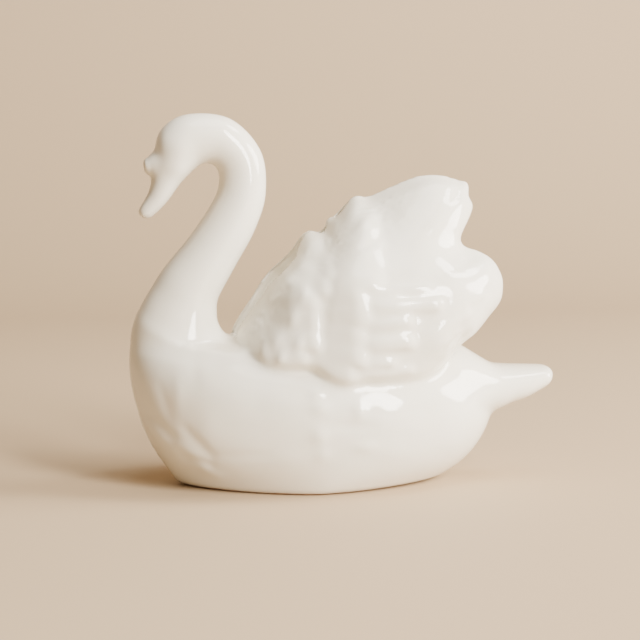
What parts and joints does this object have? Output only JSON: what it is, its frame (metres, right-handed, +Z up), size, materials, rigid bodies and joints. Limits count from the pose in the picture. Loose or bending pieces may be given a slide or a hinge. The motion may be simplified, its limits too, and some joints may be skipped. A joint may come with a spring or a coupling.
{
  "type": "swan figurine",
  "caption": "White glazed ceramic swan with an S-curved neck, feathered wings raised over its back and joined along the top, a short flat tail and a flat oval foot.",
  "frame": {"origin": "on the underside of the flat foot, on the middle plane of the swan", "axes": "+Z up from the foot, the swan faces -X and its tail points to +X, its left side is -Y"},
  "size_m": [0.1214, 0.0634, 0.104],
  "materials": {
    "white_glaze": "glossy warm white glaze over pale clay, with a thin bare clay line round the foot"
  },
  "bodies": {
    "root": {"swan": "white_glaze"}
  },
  "joints": []
}
